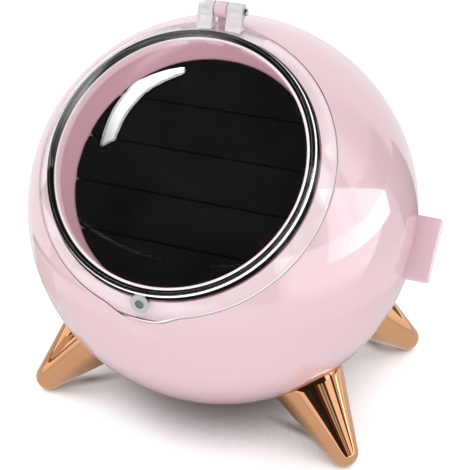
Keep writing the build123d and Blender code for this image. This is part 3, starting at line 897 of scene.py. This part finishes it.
def makeRearShell():
    outer = ball["radius"]
    tongueOuter = inner - rear["tongueGap"]
    tongueInner = tongueOuter - rear["tongueWall"]
    root = sqrt(inner**2 - rear["tongueRoot"] ** 2)
    outline = arcOutline(outer, 180, 90, 60) + [
        (tongueOuter, 0), (tongueOuter, rear["tongueHeight"]), (tongueInner, rear["tongueHeight"]),
        (tongueInner, -rear["tongueRoot"]),
    ]
    outline += arcOutline(inner, 180 - angleAt(inner, root), 180, 56)
    piece = spinOutline("shellRear", outline, ball["steps"])
    depth, cut = rear["postLength"], rear["cut"]
    posts = joinAll([roundBar(rear["postRadius"], depth, (x, y, -depth / 2)) for x, y in fourScrewPlaces()])
    deselectAll()
    bpy.ops.mesh.primitive_uv_sphere_add(segments=192, ring_count=96, radius=(inner + ball["wall"] / 2) * mm)
    combine(posts, bpy.context.object, "INTERSECT")
    combine(piece, posts, "UNION")
    for side in (-1, 1):
        low, high = sorted((side * rear["tabRoot"], side * (outer + rear["tabReach"])))
        half = rear["tabLength"] / 2
        tab = slab((low, -half, -rear["tabThickness"]), (high, half, 0))
        bevelEdges(tab, lambda start, end: (
            min(side * start.x, side * end.x) > outer and abs(start.z - end.z) < 0.1), rear["tabCorner"], 8)
        finishWith(tab, "BEVEL", width=rear["edgeRound"] * mm, segments=5, limit_method="ANGLE",
                   angle_limit=radians(rear["sharp"]))
        combine(piece, tab, "UNION")
    outline = [(0, -depth), (rear["wellRadius"], -depth), (rear["wellRadius"], -rear["postFloor"]),
               (rear["holeRadius"], -rear["postFloor"]), (rear["holeRadius"], cut), (0, cut)]
    tools = []
    for x, y in fourScrewPlaces():
        tool = spinOutline("screwWell", outline, 48)
        moveTo(tool, Matrix.Translation((x * mm, y * mm, 0)))
        tools.append(tool)
    combine(piece, joinAll(tools), "DIFFERENCE")
    moveTo(piece, ballPlace)
    tools = []
    for side, forward in legNames.values():
        tool = roundBar(leg["base"] + cut, 2 * cut, (0, 0, cut), segments=96)
        moveTo(tool, legPlace(side, forward))
        tools.append(tool)
    combine(piece, joinAll(tools), "DIFFERENCE")
    smoothSides(piece)
    followSpheres(piece, (outer, inner))
    dress(piece, "shellRear", pinkPlastic, "case", "pink_plastic", "rear_shell")


makeRearShell()
print("rear shell made")


# legs: plated cones with a round tip and a small flat foot

def legOutline(slant):
    length = (ball["height"] - leg["tip"] + leg["footFlat"]) / sin(slant) - leg["seat"]
    sideAngle = atan2(leg["base"], length) - asin(leg["tip"] / hypot(length, leg["base"]))
    touch = (leg["tip"] * cos(sideAngle), length + leg["tip"] * sin(sideAngle))
    steps = leg["coneSteps"]
    cone = [(leg["base"] + (touch[0] - leg["base"]) * i / steps, touch[1] * i / steps)
            for i in range(steps + 1)]
    tip = [(r, h + length) for r, h in arcOutline(leg["tip"], 90 - degrees(sideAngle), 0, leg["tipSteps"])]
    return softOutline([(0, 0)] + cone + tip[1:], leg["baseRound"], 4)


def makeLegs():
    for name, (side, forward) in legNames.items():
        piece = spinOutline("leg", legOutline(legAngles(forward)[1]), leg["steps"])
        moveTo(piece, legPlace(side, forward))
        editAll()
        bpy.ops.mesh.bisect(plane_co=(0, 0, 0), plane_no=(0, 0, -1), use_fill=True, clear_outer=True)
        bpy.ops.object.mode_set(mode="OBJECT")
        smoothSides(piece)
        pieceName = "leg" + "".join(word.title() for word in name.split("_"))
        dress(piece, pieceName, roseGold, "case", "rose_gold", "leg_" + name)


makeLegs()
print("legs made")


# finishes of the nodes that stay as they are

finishes = {
    "pad_board": boardFibre, "hinge_pin": steel, "lid_magnet": magnetSteel, "body_magnet": magnetSteel,
    "well_screws": steel, "shell_screws": steel, "leg_screws": steel,
}
for name, material in finishes.items():
    for socket in nodes[name].material_slots:
        socket.material = material
# painted shade: the dimple in the lid's magnet is darker
disc = nodes["lid_magnet"]
disc.data.materials.append(dimpleShade)
back = radialPlace(-magnet["angle"], ball["radius"]).inverted() @ disc.matrix_world
for face in disc.data.polygons:
    middle = back @ face.center
    if hypot(middle.x, middle.y) < magnet["dimple"] * mm:
        face.material_index = len(disc.data.materials) - 1
print("finishes given")


# studio: pale floor, soft boxes, and the room that glossy and clear surfaces show

studio = {
    "floorSize": 6.0, "floorColour": (0.92, 0.92, 0.92, 1), "floorLift": 0.45, "bounceLift": 0.12,
    "shadeColour": (0.32, 0.31, 0.305, 1), "shadeReach": 0.05, "shadeRange": (0.0, 0.5),
    "shadeRing": (0.014, 0.044),
    # painted shadow streaks under the legs: middle x and y, half length and width, angle
    "legShadowStreaks": [
        (-40, -21.5, 14, 3.2, 34.5), (40, -21.5, 14, 3.2, -34.5), (33, -20, 14, 2.8, -14),
        (43, 33, 9, 4, -16),
    ],
    # compass angle, half its width, nearest and farthest distance, level
    "floorWedges": [
        (-10, 58, 196, 3000, 0.05), (-25, 73, 330, 3000, 0.03), (142, 12, 140, 3000, 0.2),
        (-84, 12, 92, 140, 0.6), (-66, 9, 160, 260, 0.6), (-72, 26, 143, 158, 0.2),
    ],
    # the floor that the right panel lights: angles, distances, and the line behind which it is shaded
    "litFrom": (46, 58), "litTo": 130, "litRing": (0.15, 0.24), "lineSlope": 1.25,
    "lineRange": (-0.188, -0.176), "litLevel": 2.8, "shadedLevel": 0.75, "ringReach": 500,
    "surround": 0.86, "roomTop": 5.0, "middleStep": (0.2, 0.24), "behindStep": (0.2, 0.5),
    "ceilingStep": (0.55, 0.62), "zenithStep": (0.6, 0.7), "dark": 0.008,
}
# what stands round the object, by the compass angle from the front towards the right: level, and any tint
roomLow = [
    (-180, 1.15), (-118, 1.1), (-108, 0.3), (-96, 0.04), (40, 0.02), (42, 0.11, "red"), (50, 0.11, "red"),
    (52, 0.62, "olive"), (57, 0.62, "olive"), (58, 0.02), (60, 0.02), (61, 0.62, "olive"),
    (66, 0.62, "olive"), (67.5, 0.1, "red"), (74, 0.1, "red"), (76, 1.1), (96, 1.1), (98, 0.04),
    (104, 0.04), (106, 0.7), (118, 0.7), (126, 0.15), (144, 0.08), (149, 1.0), (180, 1.15),
]
roomHigh = [
    (-180, 1.2), (-152, 1.0), (-138, 0.25), (-120, 0.03), (80, 0.03), (84, 1.4), (96, 1.6), (99, 0.2),
    (103, 0.2), (106, 2.2), (114, 2.0), (128, 0.5), (140, 0.5), (150, 1.1), (180, 1.2),
]
# the floor as it shows in gloss, by the distance from the middle in millimetres
floorRings = [
    (0, 0.1, "warm"), (36, 0.18, "warm"), (48, 0.4), (58, 0.66), (90, 0.7), (108, 0.6), (116, 0.9),
    (150, 1.0),
]
tints = {"plain": (1, 1, 1), "warm": (1, 0.86, 0.7), "red": (1, 0.28, 0.25), "olive": (0.86, 1, 0.9)}


def tinted(level, tint="plain"):
    return tuple(level * part / studio["roomTop"] for part in tints[tint]) + (1,)


def fillRamp(tree, factor, stops, low, high):
    ramp = addNode(tree, "ValToRGB")
    elements = ramp.color_ramp.elements
    elements.remove(elements[1])
    for i, (place, *colour) in enumerate(stops):
        share = (place - low) / (high - low)
        element = elements[0] if i == 0 else elements.new(share)
        element.position = share
        element.color = tinted(*colour)
    feed(tree, factor, ramp.inputs["Fac"])
    return ramp.outputs["Color"]


def placeParts(tree, coordinates):
    parts = addNode(tree, "SeparateXYZ")
    feed(tree, addNode(tree, "TexCoord").outputs[coordinates], parts.inputs[0])
    return [parts.outputs[axis] for axis in "XYZ"]


def makeFloor():
    deselectAll()
    bpy.ops.mesh.primitive_plane_add(size=studio["floorSize"])
    floor = bpy.context.object
    floor.name = "floor"
    material, tree, shader = newMaterial("floor")
    setSockets(shader, Roughness=0.9, Specular_IOR_Level=0.0)
    rays = addNode(tree, "LightPath").outputs
    # painted shadow: the floor is darker close to the object, from ambient occlusion and a ring round the
    # middle, and under the legs
    openness = addNode(tree, "AmbientOcclusion", samples=8)
    setSockets(openness, Distance=studio["shadeReach"])
    x, y, _ = placeParts(tree, "Object")
    distance = addMath(tree, "SQRT", addMath(tree, "ADD", *[times(tree, a, a) for a in (x, y)]))
    outsidePaintedShadow = times(tree, addStep(tree, openness.outputs["AO"], *studio["shadeRange"]),
                     addStep(tree, distance, *studio["shadeRing"]))
    place = addNode(tree, "TexCoord").outputs["Object"]
    # painted shadow streaks under the legs
    for middleX, middleY, long, wide, angle in studio["legShadowStreaks"]:
        turned = addNode(tree, "Mapping", vector_type="TEXTURE")
        setSockets(turned, Location=(middleX * mm, middleY * mm, 0), Rotation=(0, 0, radians(angle)),
                   Scale=(long * mm, wide * mm, 1))
        shadowStreak = addNode(tree, "TexGradient", gradient_type="SPHERICAL")
        feed(tree, place, turned.inputs["Vector"])
        feed(tree, turned.outputs["Vector"], shadowStreak.inputs["Vector"])
        outsidePaintedShadow = times(tree, outsidePaintedShadow, addMath(tree, "SUBTRACT", 1.0, shadowStreak.outputs["Fac"]))
    colour = addMix(tree, outsidePaintedShadow, studio["shadeColour"], studio["floorColour"])
    feed(tree, colour, shader.inputs["Base Color"])
    seen = addMath(tree, "MAXIMUM", rays["Is Camera Ray"], rays["Is Transmission Ray"])
    lift = times(tree, times(tree, seen, studio["floorLift"]), outsidePaintedShadow)
    bounce = times(tree, rays["Is Diffuse Ray"], studio["bounceLift"])
    glow = addNode(tree, "Emission")
    feed(tree, addMath(tree, "ADD", lift, bounce), glow.inputs["Strength"])
    both = blendShaders(tree, "Add", shader.outputs["BSDF"], glow.outputs["Emission"])
    # in gloss the floor shows its light and dark zones
    reach = studio["ringReach"]
    rings = fillRamp(tree, times(tree, distance, 1 / (reach * mm)), floorRings, 0, reach)
    angle = addMath(tree, "ARCTAN2", x, times(tree, y, -1.0))
    # the right panel lights the floor in front of a line, and shades it behind
    beyond = addMath(tree, "SUBTRACT", times(tree, y, studio["lineSlope"]), x)
    right = addStep(tree, angle, *[radians(value) for value in studio["litFrom"]])
    lit = times(tree, addStep(tree, distance, *studio["litRing"]),
                  addMath(tree, "LESS_THAN", angle, radians(studio["litTo"])))
    bright = addMix(tree, addStep(tree, beyond, *studio["lineRange"]), tinted(studio["litLevel"]),
                    tinted(studio["shadedLevel"]))
    shade = addMix(tree, times(tree, lit, right), rings, bright)
    # the floor's dark edge at the left, a warm part beyond it, and the dark room in front
    for centre, half, low, high, level in studio["floorWedges"]:
        sector = addMath(tree, "COMPARE", angle, radians(centre), radians(half))
        band = addMath(tree, "COMPARE", distance, (low + high) / 2 * mm, (high - low) / 2 * mm)
        shade = addMix(tree, times(tree, sector, band), shade, tinted(level, "warm"))
    mirrored = addNode(tree, "Emission")
    feed(tree, shade, mirrored.inputs["Color"])
    setSockets(mirrored, Strength=studio["roomTop"])
    showShader(tree, blendShaders(tree, "Mix", rays["Is Glossy Ray"], both, mirrored.outputs["Emission"]))
    floor.data.materials.append(material)


def makeCard(name, corners, fadeAlong, places, levels):
    # a light card that only gloss and clear plastic show, its light changing along one direction
    deselectAll()
    bpy.ops.mesh.primitive_grid_add(x_subdivisions=1, y_subdivisions=len(corners) // 2 - 1, size=1)
    card = bpy.context.object
    card.name = name
    for vertex, corner in zip(card.data.vertices, corners):
        vertex.co = Vector(corner) * mm
    material, tree, _ = newMaterial(name)
    along = placeParts(tree, "Object")["XYZ".index(fadeAlong)]
    glow = addNode(tree, "Emission")
    feed(tree, addRange(tree, along, *[value * mm for value in places], *levels), glow.inputs["Strength"])
    clear = addNode(tree, "BsdfTransparent").outputs["BSDF"]
    showShader(tree, blendShaders(tree, "Add", glow.outputs["Emission"], clear))
    card.data.materials.append(material)
    card.visible_camera = card.visible_diffuse = card.visible_shadow = False
    return card


def makeSoftBox(name, toward, distance, size, strength):
    # a square lamp at a compass angle and height angle from the ball, turned to it
    compass, height = (radians(value) for value in toward)
    direction = Vector((sin(compass) * cos(height), -cos(compass) * cos(height), sin(height)))
    lamp = bpy.data.lights.new(name, "AREA")
    lamp.size = size * mm
    lamp.energy = strength * pi * lamp.size**2
    box = bpy.data.objects.new(name, lamp)
    bpy.context.scene.collection.objects.link(box)
    turned = direction.to_track_quat("Z", "Y").to_matrix().to_4x4()
    box.matrix_world = Matrix.Translation(ballCentre + direction * distance * mm) @ turned
    box.visible_camera = box.visible_glossy = box.visible_transmission = False


def makeSurround():
    world = bpy.data.worlds.new("studio")
    bpy.context.scene.world = world
    world.use_nodes = True
    tree = world.node_tree
    rays = addNode(tree, "LightPath").outputs
    x, y, height = placeParts(tree, "Generated")
    angle = addMath(tree, "ARCTAN2", x, times(tree, y, -1.0))
    share = addMath(tree, "ADD", times(tree, angle, 1 / (2 * pi)), 0.5)
    bands = [fillRamp(tree, share, stops, -180, 180) for stops in (roomLow, roomHigh)]
    dark = tinted(studio["dark"] * studio["roomTop"])
    room = addMix(tree, addStep(tree, height, *studio["middleStep"]), *bands)
    top = addMix(tree, addStep(tree, y, *studio["behindStep"]), dark, tinted(1.0))
    room = addMix(tree, addStep(tree, height, *studio["ceilingStep"]), room, top)
    room = addMix(tree, addStep(tree, height, *studio["zenithStep"]), room, dark)
    mirrored = addMath(tree, "MAXIMUM", rays["Is Glossy Ray"], rays["Is Transmission Ray"])
    colour = addMix(tree, mirrored, tinted(studio["surround"]), room)
    colour = addMix(tree, rays["Is Camera Ray"], colour, tinted(1.0))
    background = setSockets(tree.nodes["Background"], Strength=studio["roomTop"])
    feed(tree, colour, background.inputs["Color"])


makeFloor()
makeCard("stripLeft", (
    (-500, -178, 365), (-500, -207, 470), (-500, -22, 455), (-500, -96, 555),
    (-500, 128, 583), (-500, 44, 710), (-500, 374, 1163), (-500, 300, 1195),
), "Z", places=(330, 850), levels=(3.5, 24))
panel = makeCard("panelRight", ((400, -107, 1), (400, 257, 1), (400, -60, 261), (400, 257, 73)), "Y",
                 places=(-107, 60), levels=(2.0, 4.2))
# the legs stand too low to catch the right panel
catching = bpy.data.collections.new("panelCatching")
for name in ("shellFront", "shellRear", "lidClear"):
    catching.objects.link(bpy.data.objects[name])
panel.light_linking.receiver_collection = catching
makeSoftBox("boxAbove", toward=(-60, 65), distance=1100, size=600, strength=2.2)
makeSoftBox("boxFront", toward=(30, 8), distance=700, size=500, strength=1.2)
makeSurround()
bpy.context.scene.view_settings.view_transform = "Standard"
print("studio made")
